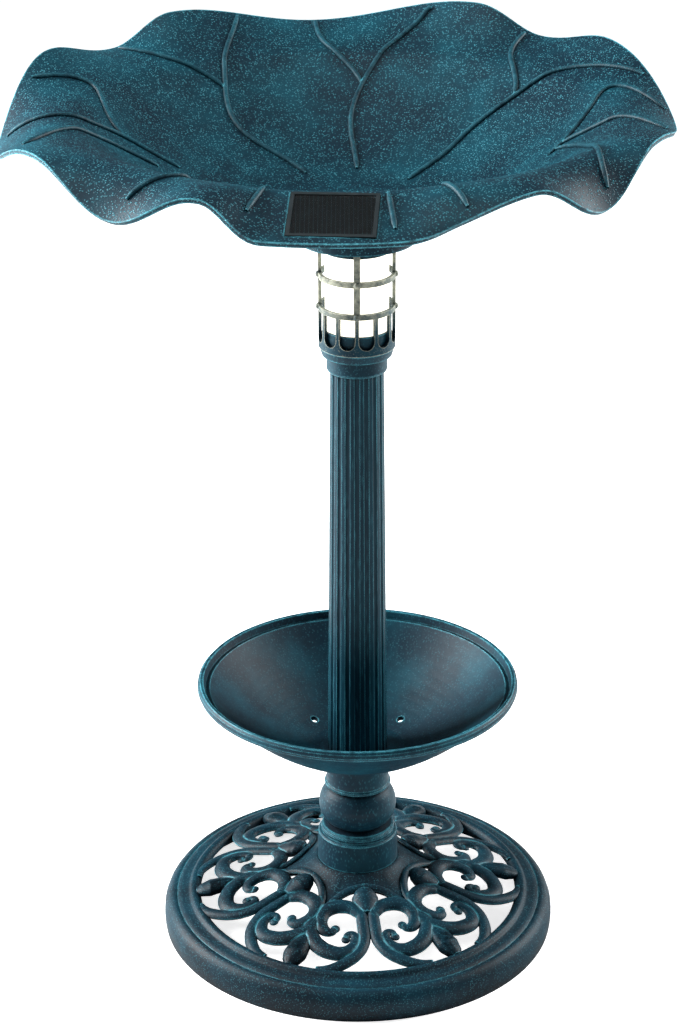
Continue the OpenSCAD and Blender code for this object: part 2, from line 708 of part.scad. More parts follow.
// Where the lead leaves the back plate, down the lip from the panel's middle
lead_at = -well_l / 2 + 8;

module panel_seal() {
    color("black") at_panel() translate([0, 0, -seat_drop]) difference() {
        plate(frame_w - 0.6, frame_l - 0.6, seal_t);
        translate([0, 0, -1]) plate(well_w + 0.4, well_l + 0.4, 3);
    }
}

// Slim frame whose walls pass down through the lip
module panel_frame() {
    color("silver") at_panel() difference() {
        union() {
            translate([0, 0, seal_t - seat_drop]) plate(frame_w, frame_l, seat_drop);
            translate([0, 0, -well_h]) plate(well_w, well_l, well_h);
        }
        translate([0, 0, -glass_t - cells_t]) plate(panel_w + 0.4, panel_l + 0.4, 10);
        difference() {
            translate([0, 0, -well_h - 1]) plate(panel_w - 3, panel_l - 3, 20);
            for (s = [-1, 1]) translate([s * (panel_w / 2 - 2), 0, -well_h - 2]) plate(8, 7, well_h);
        }
        for (s = [-1, 1]) translate([s * (panel_w / 2 - 4), 0, -well_h - 1])
            cylinder(r = 1 + screw_fit, h = 4.5, $fn = 24);
    }
}

module panel_glass() {
    color([0.05, 0.07, 0.12, 0.5]) at_panel() translate([0, 0, -glass_t])
        plate(panel_w, panel_l, glass_t);
}

module solar_cells() {
    color([0.03, 0.05, 0.10]) at_panel() translate([0, 0, -glass_t - cells_t])
        plate(panel_w, panel_l, cells_t);
}

// Back plate of the panel, screwed up into the frame's walls
module panel_back() {
    color(dark_verdigris) at_panel() difference() {
        union() {
            translate([0, 0, -well_h - back_t]) plate(well_w, well_l, back_t);
        }
        for (s = [-1, 1]) translate([s * (panel_w / 2 - 4), 0, -well_h - 3])
            cylinder(r = 1 + screw_fit, h = 6, $fn = 24);
        translate([0, lead_at, -well_h - 3]) cylinder(r = wire_r + 0.2, h = 6, $fn = 24);
    }
}

module panel_screws() {
    color("silver") at_panel() for (s = [-1, 1]) translate([s * (panel_w / 2 - 4), 0, -well_h - back_t])
        screw(1, 2, 1.2, back_t + 3);
}

// ---------------------------------------------------------------- lead

function unit(v) = v / norm(v);
// Direction of the path at each point, and an upright carried along it without twist
function heads(pts) = let (n = len(pts) - 1)
    [for (i = [0:n]) unit(unit(pts[min(i + 1, n)] - pts[max(i, 0) == n ? n - 1 : i])
        + unit(pts[i == 0 ? 1 : i] - pts[max(i - 1, 0)]))];
function carry(ts, i, n) = i == len(ts) ? []
    : let (k = unit(n - (n * ts[i]) * ts[i])) concat([k], carry(ts, i + 1, k));

// Round wire of radius r through the points
module wire(pts, r) {
    sides = 12;
    n = len(pts);
    ts = heads(pts);
    ns = carry(ts, 0, [1, 0, 0]);
    rings = [for (i = [0:n - 1], k = [0:sides - 1]) let (a = 360 * k / sides)
        pts[i] + r * (cos(a) * ns[i] + sin(a) * cross(ts[i], ns[i]))];
    skin = [for (i = [0:n - 2], k = [0:sides - 1]) let (a = i * sides, b = (k + 1) % sides)
        [a + k, a + sides + k, a + sides + b, a + b]];
    polyhedron(rings, concat(skin, [[for (k = [0:sides - 1]) k]],
        [[for (k = [sides - 1:-1:0]) (n - 1) * sides + k]]), convexity = 8);
}

// The wire hangs this far under the basin's wall
wire_gap = wire_r + 0.8;
function beneath(u, a) = let (s = slope(u, a), g = thick(u) + wire_gap, r = top_r(u, a) + g * sin(s))
    [r * cos(a), r * sin(a), top_z(u, a) - g * cos(s)];

// Point of the panel's middle line: y down the lip, z out of the glass
function on_panel(y, z) = let (r = panel_mid + y * cos(panel_tilt) + z * sin(panel_tilt))
    [r * cos(panel_az), r * sin(panel_az), panel_z - y * sin(panel_tilt) + z * cos(panel_tilt)];
function around(r, a, z) = [r * cos(a), r * sin(a), z];

// Lead from the panel, straight in under the basin's wall, round the middle and into the housing's side
module lead_wire() {
    inwards = [for (i = [0:5]) beneath(0.9 - 0.5 * i / 5, panel_az)];
    sweep = [for (i = [1:8]) beneath(0.39, panel_az + (wire_az - panel_az) * i / 8)];
    run = concat(inwards, sweep);
    color([0.08, 0.08, 0.08]) wire(concat(
        [on_panel(lead_at, 1 - well_h), on_panel(lead_at, -well_h - back_t - 4)], run,
        [around(housing_r + 9, wire_az, bowl_z - wire_gap), around(housing_r + 4, wire_az, wire_z),
         around(house_in - 5, wire_az, wire_z), [24, 9, board_z - wire_r - 1],
         [15, 7, board_z - wire_r - 1]]),
        wire_r);
}

module wire_grommet() {
    color([0.1, 0.1, 0.1]) rotate(wire_az) translate([house_in - 1, 0, wire_z]) rotate([0, 90, 0])
    difference() {
        union() {
            cylinder(r = wire_r + 1.3, h = housing_wall + 2, $fn = 24);
            translate([0, 0, housing_wall + 1]) cylinder(r = wire_r + 2.4, h = 1.4, $fn = 24);
        }
        translate([0, 0, -1]) cylinder(r = wire_r + 0.1, h = housing_wall + 6, $fn = 24);
    }
}

// The column's axis stands this far to the right of the middle between the leaf's tips
axis_x = (edge_r(180) - edge_r(0)) / 2;

// Puts a piece made around the column's axis in its place in the part
module place() { translate([axis_x, 0, 0]) children(); }

place() base();
place() neck();
place() planter();
place() column();
place() lantern_seat();
place() lantern_cage();
place() diffuser();
place() tie_rod();
place() rod_nuts();
place() rod_washers();
place() bowl();
place() panel_frame();
place() panel_glass();
place() solar_cells();
place() panel_seal();
place() panel_back();
place() panel_screws();
place() lead_wire();
place() wire_grommet();
place() lamp_housing();
place() housing_screws();
place() housing_cover();
place() cover_screws();
place() lens_window();
place() led_reflector();
place() led();
place() circuit_board();
place() board_screws();
place() battery_holder();
place() battery_contacts();
place() battery();
place() battery_door();
place() door_pin();
place() switch_body();
place() switch_slider();
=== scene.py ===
import math

import bpy
from mathutils import Matrix, Vector


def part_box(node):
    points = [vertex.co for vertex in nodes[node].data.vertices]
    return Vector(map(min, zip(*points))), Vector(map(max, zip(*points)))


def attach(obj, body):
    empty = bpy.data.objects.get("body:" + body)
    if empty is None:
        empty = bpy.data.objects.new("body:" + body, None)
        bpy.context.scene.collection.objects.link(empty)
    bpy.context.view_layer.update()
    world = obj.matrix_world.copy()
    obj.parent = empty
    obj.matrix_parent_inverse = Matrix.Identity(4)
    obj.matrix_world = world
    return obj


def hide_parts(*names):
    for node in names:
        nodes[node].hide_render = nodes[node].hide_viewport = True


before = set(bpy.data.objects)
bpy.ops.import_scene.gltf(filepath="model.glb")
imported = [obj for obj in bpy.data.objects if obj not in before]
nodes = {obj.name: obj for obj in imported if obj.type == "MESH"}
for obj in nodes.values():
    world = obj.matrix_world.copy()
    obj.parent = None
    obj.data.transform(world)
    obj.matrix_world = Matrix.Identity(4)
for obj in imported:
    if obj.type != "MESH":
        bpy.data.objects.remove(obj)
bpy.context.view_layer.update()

# The column stands a little to the right of the middle between the leaf's tips.
low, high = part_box("column")
AXIS = (low.x + high.x) / 2


# ------------------------------------------------------------------ studio
# A pale floor that runs past the view on every side, two tall soft lights to the sides and a little
# behind, one over the basin and a weak one in front, and a camera a little above the basin's rim.

def clear_selection():
    if bpy.context.object and bpy.context.object.mode != "OBJECT":
        bpy.ops.object.mode_set(mode="OBJECT")
    bpy.ops.object.select_all(action="DESELECT")


clear_selection()
bpy.ops.mesh.primitive_plane_add(size=24, location=(0, 4, 0))
floor = bpy.context.object
floor.name = "studio_floor"
paper = bpy.data.materials.new("white_paper")
paper.use_nodes = True
sheet = paper.node_tree.nodes["Principled BSDF"]
sheet.inputs["Base Color"].default_value = (0.93, 0.93, 0.93, 1)
sheet.inputs["Roughness"].default_value = 0.9
sheet.inputs["Specular IOR Level"].default_value = 0.1
sheet.inputs["Emission Color"].default_value = (1, 1, 1, 1)
seen = paper.node_tree.nodes.new("ShaderNodeLightPath")
lift = paper.node_tree.nodes.new("ShaderNodeMath")
lift.operation = "MULTIPLY"
lift.inputs[1].default_value = 0.75
paper.node_tree.links.new(seen.outputs["Is Camera Ray"], lift.inputs[0])
paper.node_tree.links.new(lift.outputs["Value"], sheet.inputs["Emission Strength"])
floor.data.materials.append(paper)


def soft_light(name, place, aim, wide, tall, watts, tint=(1, 1, 1)):
    lamp = bpy.data.lights.new(name, "AREA")
    lamp.shape = "RECTANGLE"
    lamp.size, lamp.size_y = wide, tall
    lamp.energy = watts
    lamp.color = tint
    holder = bpy.data.objects.new(name, lamp)
    holder.location = place
    holder.rotation_euler = (Vector(aim) - Vector(place)).to_track_quat("-Z", "Y").to_euler()
    bpy.context.scene.collection.objects.link(holder)


soft_light("left_light", (-1.8, 0.45, 1.1), (0, 0, 0.40), 0.8, 1.6, 130)
soft_light("right_light", (1.8, 0.8, 1.1), (0, 0, 0.40), 0.7, 1.6, 62)
soft_light("top_light", (-0.2, -0.2, 2.6), (0, 0, 0.3), 1.1, 1.1, 18)
soft_light("front_light", (-0.6, -2.6, 1.8), (0, 0, 0.35), 1.2, 1.2, 3)

world = bpy.data.worlds.new("studio")
world.use_nodes = True
world.node_tree.nodes["Background"].inputs["Color"].default_value = (0.95, 0.97, 1, 1)
world.node_tree.nodes["Background"].inputs["Strength"].default_value = 0.16
bpy.context.scene.world = world
bpy.context.scene.view_settings.view_transform = "Standard"

camera = bpy.data.objects.new("camera", bpy.data.cameras.new("camera"))
camera.data.sensor_fit = "VERTICAL"
camera.data.sensor_height = 24
camera.data.lens = 59.86
camera.data.clip_end = 60
camera.location = (AXIS, -1.8919, 1.1988)
pitch, yaw, roll = math.radians(23.66), math.radians(-0.43), math.radians(-0.25)
ahead = Vector((math.sin(yaw) * math.cos(pitch), math.cos(yaw) * math.cos(pitch), -math.sin(pitch)))
camera_turn = ahead.to_track_quat("-Z", "Y").to_matrix() @ Matrix.Rotation(roll, 3, "Z")
camera.rotation_euler = camera_turn.to_euler()
bpy.context.scene.collection.objects.link(camera)
bpy.context.scene.camera = camera


# ------------------------------------------------------------------ foot
# Cast resin foot: a rolled rim and a flared hub, joined by six pairs of scrolls, each scroll a
# raised, rounded strand that lies on the slope between hub and rim. The neck stands on the hub.

def group_of(name, ins, outs):
    tree = bpy.data.node_groups.new(name, "ShaderNodeTree")
    for label, kind, value in ins:
        socket = tree.interface.new_socket(label, in_out="INPUT", socket_type=kind)
        if value is not None:
            socket.default_value = value
    for label, kind in outs:
        tree.interface.new_socket(label, in_out="OUTPUT", socket_type=kind)
    return tree, tree.nodes.new("NodeGroupInput"), tree.nodes.new("NodeGroupOutput")


def put(tree, kind, **values):
    node = tree.nodes.new(kind)
    for key, value in values.items():
        if key in node.bl_rna.properties:
            setattr(node, key, value)
        else:
            node.inputs[key.replace("_", " ")].default_value = value
    return node


def ramp(tree, source, low, high, to_min=0.0, to_max=1.0):
    node = tree.nodes.new("ShaderNodeMapRange")
    node.interpolation_type = "SMOOTHSTEP"
    for key, value in (("From Min", low), ("From Max", high), ("To Min", to_min), ("To Max", to_max)):
        node.inputs[key].default_value = value
    tree.links.new(source, node.inputs["Value"])
    return node.outputs["Result"]


def blend_colour(tree, mask, a, b, mode="MIX"):
    node = tree.nodes.new("ShaderNodeMix")
    node.data_type = "RGBA"
    node.blend_type = mode
    for socket, value in ((node.inputs["Factor"], mask), (node.inputs["A"], a), (node.inputs["B"], b)):
        if isinstance(value, bpy.types.NodeSocket):
            tree.links.new(value, socket)
        else:
            socket.default_value = value
    return node.outputs["Result"]


def sum_of(tree, operation, a, b, clamp=False):
    node = tree.nodes.new("ShaderNodeMath")
    node.operation = operation
    node.use_clamp = clamp
    for socket, value in zip(node.inputs, (a, b)):
        if isinstance(value, bpy.types.NodeSocket):
            tree.links.new(value, socket)
        else:
            socket.default_value = value
    return node.outputs["Value"]


# Verdigris finish with pebbled specks and rubbed edges. It also paints light into the colour: painted shade
# in occluded creases and painted highlights on edges.
patina_and_painted_light, given, made = group_of("rubbed_verdigris_and_painted_light",
    [("Where", "NodeSocketVector", None), ("Deep", "NodeSocketColor", (0.001, 0.020, 0.036, 1)),
     ("Middle", "NodeSocketColor", (0.003, 0.060, 0.090, 1)),
     ("Rubbed", "NodeSocketColor", (0.10, 0.46, 0.57, 1)),
     ("Pebbles", "NodeSocketFloat", 0.5), ("Pebble scale", "NodeSocketFloat", 520.0),
     ("Rub", "NodeSocketFloat", 0.5), ("Edge width", "NodeSocketFloat", 0.0022),
     ("Extra rub", "NodeSocketFloat", 0.0)],
    [("Colour", "NodeSocketColor"), ("Roughness", "NodeSocketFloat"), ("Height", "NodeSocketFloat")])
cloud = put(patina_and_painted_light, "ShaderNodeTexNoise", Scale=16.0, Detail=5.0, Roughness=0.6)
mottle = put(patina_and_painted_light, "ShaderNodeTexNoise", Scale=150.0, Detail=4.0, Roughness=0.65)
cells = put(patina_and_painted_light, "ShaderNodeTexVoronoi", feature="SMOOTH_F1", Smoothness=0.35)
for texture in (cloud, mottle, cells):
    patina_and_painted_light.links.new(given.outputs["Where"], texture.inputs["Vector"])
patina_and_painted_light.links.new(given.outputs["Pebble scale"], cells.inputs["Scale"])
# Edges found with the bevel normal are lightened: partly rubbed wear, partly painted highlight.
rounded = put(patina_and_painted_light, "ShaderNodeBevel", samples=6)
patina_and_painted_light.links.new(given.outputs["Edge width"], rounded.inputs["Radius"])
flat_normal = put(patina_and_painted_light, "ShaderNodeNewGeometry")
agree = put(patina_and_painted_light, "ShaderNodeVectorMath", operation="DOT_PRODUCT")
patina_and_painted_light.links.new(rounded.outputs["Normal"], agree.inputs[0])
patina_and_painted_light.links.new(flat_normal.outputs["Normal"], agree.inputs[1])
edges = ramp(patina_and_painted_light, agree.outputs["Value"], 0.998, 0.90)
# Painted shade: ambient occlusion finds creases, recesses and gaps between parts where shade falls.
shade = put(patina_and_painted_light, "ShaderNodeAmbientOcclusion", samples=6, Distance=0.016)
open_to_light = ramp(patina_and_painted_light, shade.outputs["AO"], 0.35, 0.95)
dot = ramp(patina_and_painted_light, cells.outputs["Distance"], 0.42, 0.12)
patches = ramp(patina_and_painted_light, cloud.outputs["Fac"], 0.38, 0.72)
base = blend_colour(patina_and_painted_light, patches, given.outputs["Deep"], given.outputs["Middle"])
speckle = sum_of(patina_and_painted_light, "MULTIPLY", dot, ramp(patina_and_painted_light, mottle.outputs["Fac"], 0.28, 0.60))
speckle = sum_of(patina_and_painted_light, "MULTIPLY", speckle, given.outputs["Pebbles"])
# Edge lightening, only where the surface is open: rubbed wear and painted highlight.
edge_rub_and_highlight = sum_of(patina_and_painted_light, "MULTIPLY", edges, open_to_light)
edge_rub_and_highlight = sum_of(patina_and_painted_light, "MULTIPLY", edge_rub_and_highlight, ramp(patina_and_painted_light, mottle.outputs["Fac"], 0.25, 0.60))
edge_rub_and_highlight = sum_of(patina_and_painted_light, "MULTIPLY", edge_rub_and_highlight, given.outputs["Rub"])
# All lightening toward the pale colour: pebble specks, edge wear with painted highlight, and the extra rub
# with painted glow.
rub = sum_of(patina_and_painted_light, "ADD", sum_of(patina_and_painted_light, "ADD", speckle, edge_rub_and_highlight, True),
             sum_of(patina_and_painted_light, "MULTIPLY", given.outputs["Extra rub"],
                    ramp(patina_and_painted_light, mottle.outputs["Fac"], 0.2, 0.75)), True)
tone = blend_colour(patina_and_painted_light, rub, base, given.outputs["Rubbed"])
# Painted shade: occluded creases are darkened by multiplying the colour down to about a fifth.
dark = blend_colour(patina_and_painted_light, open_to_light, (0.15, 0.20, 0.25, 1), (1, 1, 1, 1))
tone = blend_colour(patina_and_painted_light, 1.0, tone, dark, "MULTIPLY")
patina_and_painted_light.links.new(tone, made.inputs["Colour"])
patina_and_painted_light.links.new(ramp(patina_and_painted_light, rub, 0.0, 1.0, 0.50, 0.38), made.inputs["Roughness"])
height = sum_of(patina_and_painted_light, "ADD", sum_of(patina_and_painted_light, "MULTIPLY", dot, given.outputs["Pebbles"]),
                sum_of(patina_and_painted_light, "MULTIPLY", mottle.outputs["Fac"], 0.5))
patina_and_painted_light.links.new(height, made.inputs["Height"])


def verdigris_and_painted_light(name, stretch=(1, 1, 1), **values):
    """One piece's rubbed finish, with painted shade in its creases and painted highlights on its edges;
    stretch draws the pattern out along an axis.
    """
    material = bpy.data.materials.new(name)
    material.use_nodes = True
    tree = material.node_tree
    shader = tree.nodes["Principled BSDF"]
    shader.inputs["Specular IOR Level"].default_value = 0.18
    where = tree.nodes.new("ShaderNodeTexCoord")
    turn = put(tree, "ShaderNodeMapping", Scale=stretch)
    tree.links.new(where.outputs["Object"], turn.inputs["Vector"])
    coat = tree.nodes.new("ShaderNodeGroup")
    coat.node_tree = patina_and_painted_light
    tree.links.new(turn.outputs["Vector"], coat.inputs["Where"])
    for key, value in values.items():
        coat.inputs[key.replace("_", " ")].default_value = value
    relief = put(tree, "ShaderNodeBump", Strength=0.8, Distance=0.0004)
    tree.links.new(coat.outputs["Colour"], shader.inputs["Base Color"])
    tree.links.new(coat.outputs["Roughness"], shader.inputs["Roughness"])
    tree.links.new(coat.outputs["Height"], relief.inputs["Height"])
    tree.links.new(relief.outputs["Normal"], shader.inputs["Normal"])
    return material


def paint(node, material):
    """Puts a material on a piece of the frame."""
    piece = nodes[node]
    if not piece.material_slots:
        piece.data.materials.append(material)
    for held in piece.material_slots:
        held.material = material


FOOT_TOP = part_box("neck")[0].z
PAIRS = 6
FIRST_PAIR = -84


def slope_height(r):
    """Height of the pierced slope's top at distance r from the axis."""
    marks = ((0.0, FOOT_TOP), (0.037, FOOT_TOP), (0.046, 0.0535), (0.060, 0.0480), (0.100, 0.0385),
             (0.141, 0.0285), (0.2, 0.0285))
    for (r0, z0), (r1, z1) in zip(marks, marks[1:]):
        if r <= r1:
            return z0 + (z1 - z0) * (r - r0) / (r1 - r0)
    return marks[-1][1]


# Each arch between hub and scrolls is an arc about a point on its pair's middle line.
ARCH_AT, ARCH_R = 0.088, 0.040


def hub_edge(a):
    """Radius of the hub's edge, a degrees from the middle of the nearest pair."""
    across = ARCH_AT * math.sin(math.radians(a))
    return ARCH_AT * math.cos(math.radians(a)) - math.sqrt(max(0, ARCH_R ** 2 - across ** 2))


def finish_mesh(piece, name, material, body, replaced=(), smooth=40):
    """Applies place and turn, shades, names and paints a finished piece and hangs it on its body."""
    clear_selection()
    piece.select_set(True)
    bpy.context.view_layer.objects.active = piece
    bpy.ops.object.transform_apply(location=True, rotation=True, scale=True)
    bpy.ops.object.shade_smooth_by_angle(angle=math.radians(smooth))
    piece.name = piece.data.name = name
    piece.data.materials.clear()
    piece.data.materials.append(material)
    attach(piece, body)
    if replaced:
        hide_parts(*replaced)
    return piece


def turned(profile, steps=120):
    """A solid of revolution from its profile, (radius, height) in turn, as on a lathe."""
    clear_selection()
    bpy.ops.mesh.primitive_plane_add(size=0.001, location=(0, 0, 0))
    piece = bpy.context.object
    bpy.ops.object.mode_set(mode="EDIT")
    bpy.ops.mesh.select_all(action="SELECT")
    bpy.ops.mesh.merge(type="CENTER")
    bpy.ops.transform.translate(value=(profile[0][0], 0, profile[0][1]))
    for (r0, z0), (r1, z1) in zip(profile, profile[1:]):
        bpy.ops.mesh.extrude_region_move(TRANSFORM_OT_translate={"value": (r1 - r0, 0, z1 - z0)})
    bpy.ops.mesh.select_all(action="SELECT")
    bpy.ops.mesh.spin(steps=steps, angle=math.tau, center=(0, 0, 0), axis=(0, 0, 1))
    bpy.ops.mesh.select_all(action="SELECT")
    bpy.ops.mesh.remove_doubles(threshold=0.00002)
    bpy.ops.mesh.normals_make_consistent(inside=False)
    bpy.ops.object.mode_set(mode="OBJECT")
    return piece


def strand(points, widths, sides=3, steps=6):
    """A tube drawn smoothly through points, (x, y) or (x, y, z) in metres, with a width at each."""
    clear_selection()
    bpy.ops.curve.primitive_nurbs_path_add(location=(0, 0, 0))
    path = bpy.context.object
    while path.data.splines:
        path.data.splines.remove(path.data.splines[0])
    line = path.data.splines.new("BEZIER")
    line.bezier_points.add(len(points) - 1)
    for knot, place, width in zip(line.bezier_points, points, widths):
        knot.co = (place[0], place[1], place[2] if len(place) > 2 else 0)
        knot.handle_left_type = knot.handle_right_type = "AUTO"
        knot.radius = width / 2
    path.data.dimensions = "3D"
    path.data.resolution_u = steps
    path.data.bevel_depth = 1.0
    path.data.bevel_resolution = sides
    path.data.use_fill_caps = True
    clear_selection()
    path.select_set(True)
    bpy.context.view_layer.objects.active = path
    bpy.ops.object.convert(target="MESH")
    return bpy.context.object


def bead(x, y, r):
    """The round boss that ends a scroll."""
    clear_selection()
    bpy.ops.mesh.primitive_ico_sphere_add(subdivisions=3, radius=r, location=(x, y, 0))
    piece = bpy.context.object
    bpy.ops.object.mode_set(mode="EDIT")
    bpy.ops.mesh.select_all(action="SELECT")
    bpy.ops.transform.resize(value=(1, 1, 0.8))
    bpy.ops.object.mode_set(mode="OBJECT")
    clear_selection()
    piece.select_set(True)
    bpy.ops.object.transform_apply(location=True)
    return piece


def joined(pieces):
    clear_selection()
    for piece in pieces:
        piece.select_set(True)
    bpy.context.view_layer.objects.active = pieces[0]
    bpy.ops.object.join()
    return bpy.context.object


def mm(*places):
    return [tuple(v / 1000 for v in place) for place in places]


half = []
# upper scroll: from the stem out, over and back in to its boss
half.append(strand(mm((4, 77), (8, 72), (12, 67), (18.5, 64), (26, 63.5), (34, 67), (38.6, 74), (39.2, 82),
                      (36, 88.5), (31.4, 90.6), (28.2, 88.2)),
                   [v / 1000 for v in (8, 10, 12, 13, 13.4, 13.4, 13, 12, 10, 7.6, 6.4)]))
half.append(bead(0.0278, 0.0876, 0.0040))
# stem: down beside its twin, then out to the rim
half.append(strand(mm((4.8, 69), (4.8, 80), (4.8, 92), (5.2, 101), (8, 110), (13.4, 118), (21, 124),
                      (30, 128.5), (40, 130.5), (48, 129)),
                   [v / 1000 for v in (8, 10, 10.4, 10.4, 10.4, 10.4, 10.4, 10, 9, 7)]))
# lower scroll: from the web between the pairs, round and in to its boss
half.append(strand(mm((39.5, 66), (45, 75), (48.6, 84), (47.6, 94), (43, 104), (34.5, 112), (24.5, 114.8),
                      (16.4, 110.6), (12.6, 103), (13.6, 96.6), (18, 95.6), (20.2, 99.4)),
                   [v / 1000 for v in (9, 11, 13, 14, 14, 13.6, 12.8, 11, 9, 7.4, 6.4, 5.6)]))
half.append(bead(0.0203, 0.1003, 0.0038))
# raised edge of the hub, round the arch over the scrolls
arch = [math.radians(t) for t in range(0, 76, 15)]
bead_r = ARCH_R + 0.0015
half.append(strand([(bead_r * math.sin(t), ARCH_AT - bead_r * math.cos(t)) for t in arch],
                   [0.0062] * len(arch)))
# half of the pointed leaf that fills the gap to the next pair
leaf_at = Matrix.Rotation(math.radians(-30), 3, "Z")
leaf_line = mm((0, 98, 0), (0, 107, 0), (0, 117, 0), (0, 126, 0), (0, 133, 0), (0, 138, 0))
half.append(strand([tuple(leaf_at @ Vector(place)) for place in leaf_line],
                   [v / 1000 for v in (3, 11, 18.5, 20.5, 16, 9)], sides=4))
right = joined(half)
clear_selection()
right.select_set(True)
bpy.context.view_layer.objects.active = right
bpy.ops.object.duplicate()
left = bpy.context.object
bpy.ops.object.mode_set(mode="EDIT")
bpy.ops.mesh.select_all(action="SELECT")
bpy.ops.transform.mirror(constraint_axis=(True, False, False), center_override=(0, 0, 0))
bpy.ops.mesh.flip_normals()
bpy.ops.object.mode_set(mode="OBJECT")
bud = strand(mm((0, 49), (0, 52), (0, 56.5), (0, 62), (0, 68), (0, 74)),
             [v / 1000 for v in (9, 17, 22, 22.6, 16.5, 10)], sides=4)
pair = joined([right, left, bud])
# flattened to a low, rounded section before it is laid on the slope
for v in pair.data.vertices:
    v.co.z = v.co.z * (0.62 if v.co.z > 0 else 0.5)
scrolls = []
for k in range(PAIRS):
    clear_selection()
    pair.select_set(True)
    bpy.context.view_layer.objects.active = pair
    bpy.ops.object.duplicate()
    copy = bpy.context.object
    turn = Matrix.Rotation(math.radians(FIRST_PAIR - 90 + 60 * k), 4, "Z")
    copy.data.transform(turn)
    scrolls.append(copy)
bpy.data.objects.remove(pair)
scrolls = joined(scrolls)
for v in scrolls.data.vertices:
    r = math.hypot(v.co.x, v.co.y)
    v.co.z += slope_height(r) - 0.0012
    v.co.x += AXIS

rim = turned([(r / 1000, z / 1000) for r, z in (
    (134, 25), (135.5, 28.4), (138, 30.2), (140.8, 30.4), (142.6, 29.2), (143.4, 27.6), (145, 26.6),
    (149, 26.4), (152.4, 25.4), (154, 24.2), (155, 24.6), (157.4, 24.2), (160.6, 22.2), (163, 18.8),
    (164.6, 14.2), (165, 9),
    (164.8, 3), (164.4, 0), (160, 0), (160, 10), (157, 16), (147, 19), (139, 21))])
rim.data.transform(Matrix.Translation((AXIS, 0, 0)))
hub = turned([(r / 1000, z / 1000) for r, z in (
    (4.4, 52), (4.4, 58), (33.9, 58), (35.4, 57.6), (37.4, 56.2), (40, 54.4), (43.4, 52.6), (46.6, 51),
    (47.4, 48.6), (45, 46.6), (41, 47.8), (36, 50), (30, 52))], 240)
for v in hub.data.vertices:
    r, a = math.hypot(v.co.x, v.co.y), math.degrees(math.atan2(v.co.y, v.co.x)) - FIRST_PAIR
    if r > 0.036:
        new = 0.036 + (r - 0.036) / 0.0114 * (hub_edge((a + 30) % 60 - 30) - 0.036)
        v.co.x, v.co.y = v.co.x * new / r, v.co.y * new / r
        v.co.z -= slope_height(r) - slope_height(new)
hub.data.transform(Matrix.Translation((AXIS, 0, 0)))
foot_finish = verdigris_and_painted_light("foot_finish", Pebbles=0.22, Pebble_scale=640.0, Rub=0.6,
                        Deep=(0.001, 0.010, 0.018, 1), Middle=(0.001, 0.030, 0.050, 1))
finish_mesh(scrolls, "foot_scrolls", foot_finish, "stand", ("base",), 60)
finish_mesh(rim, "foot_rim", foot_finish, "stand", (), 50)
finish_mesh(hub, "foot_hub", foot_finish, "stand", (), 50)


# ------------------------------------------------------------------ neck
# Turned baluster in the same cast resin: a ball between two rings. It stands on the foot's hub and is
# held by the tie rod that runs up through it.

paint("neck", verdigris_and_painted_light("neck_finish", stretch=(1, 1, 0.5), Pebbles=0.15, Rub=0.8))


# ------------------------------------------------------------------ planter
# Round resin dish for soil and plants, with a rolled band below its rim. It is clamped between the neck
# and the column by the tie rod, and has two drain holes.

paint("planter", verdigris_and_painted_light("planter_finish", stretch=(1, 1, 0.6), Pebbles=0.12, Rub=0.9))


# ------------------------------------------------------------------ column
# Tapered, fluted resin tube from the planter up to the lantern. Its pattern is drawn out along the
# flutes.

paint("column", verdigris_and_painted_light("column_finish", stretch=(1, 1, 0.12), Pebbles=0.1, Rub=0.8, Edge_width=0.0012))


# ------------------------------------------------------------------ tie rod
# Zinc-plated steel rod with a nut and a washer at each end. It runs from the foot to the lantern's
# seat and clamps everything between them.

def plain(name, colour, roughness=0.4, metallic=0.0, grain=0.15, **extra):
    """A small part's finish: one colour with fine grain, and a little dirt and unevenness."""
    material = bpy.data.materials.new(name)
    material.use_nodes = True
    tree = material.node_tree
    shader = tree.nodes["Principled BSDF"]
    shader.inputs["Metallic"].default_value = metallic
    for key, value in extra.items():
        shader.inputs[key.replace("_", " ")].default_value = value
    where = tree.nodes.new("ShaderNodeTexCoord")
    speck = put(tree, "ShaderNodeTexNoise", Scale=300.0, Detail=4.0)
    tree.links.new(where.outputs["Object"], speck.inputs["Vector"])
    darker = tuple(c * (1 - grain) for c in colour) + (1,)
    lighter = tuple(min(1, c * (1 + grain)) for c in colour) + (1,)
    shade = blend_colour(tree, ramp(tree, speck.outputs["Fac"], 0.3, 0.7), darker, lighter)
    tree.links.new(shade, shader.inputs["Base Color"])
    rough = ramp(tree, speck.outputs["Fac"], 0.3, 0.7, roughness * 0.85, roughness * 1.15)
    tree.links.new(rough, shader.inputs["Roughness"])
    relief = put(tree, "ShaderNodeBump", Strength=0.25, Distance=0.0001)
    tree.links.new(speck.outputs["Fac"], relief.inputs["Height"])
    tree.links.new(relief.outputs["Normal"], shader.inputs["Normal"])
    return material


for name in ("tie_rod", "rod_nuts", "rod_washers"):
    paint(name, plain(name + "_finish", (0.55, 0.56, 0.57), 0.3, 1.0))


# ------------------------------------------------------------------ lantern
# Pierced resin cage on a seat at the head of the column, round a frosted tube that spreads the lamp's
# light. The lamp's light on the cage's upper part is painted into its colour as a pale wash.

def glowing(name, colour, strength, roughness=0.4):
    material = plain(name, colour, roughness)
    shader = material.node_tree.nodes["Principled BSDF"]
    shader.inputs["Emission Color"].default_value = tuple(colour) + (1,)
    shader.inputs["Emission Strength"].default_value = strength
    return material


paint("lantern_seat", verdigris_and_painted_light("seat_finish", Pebbles=0.15, Rub=0.8))
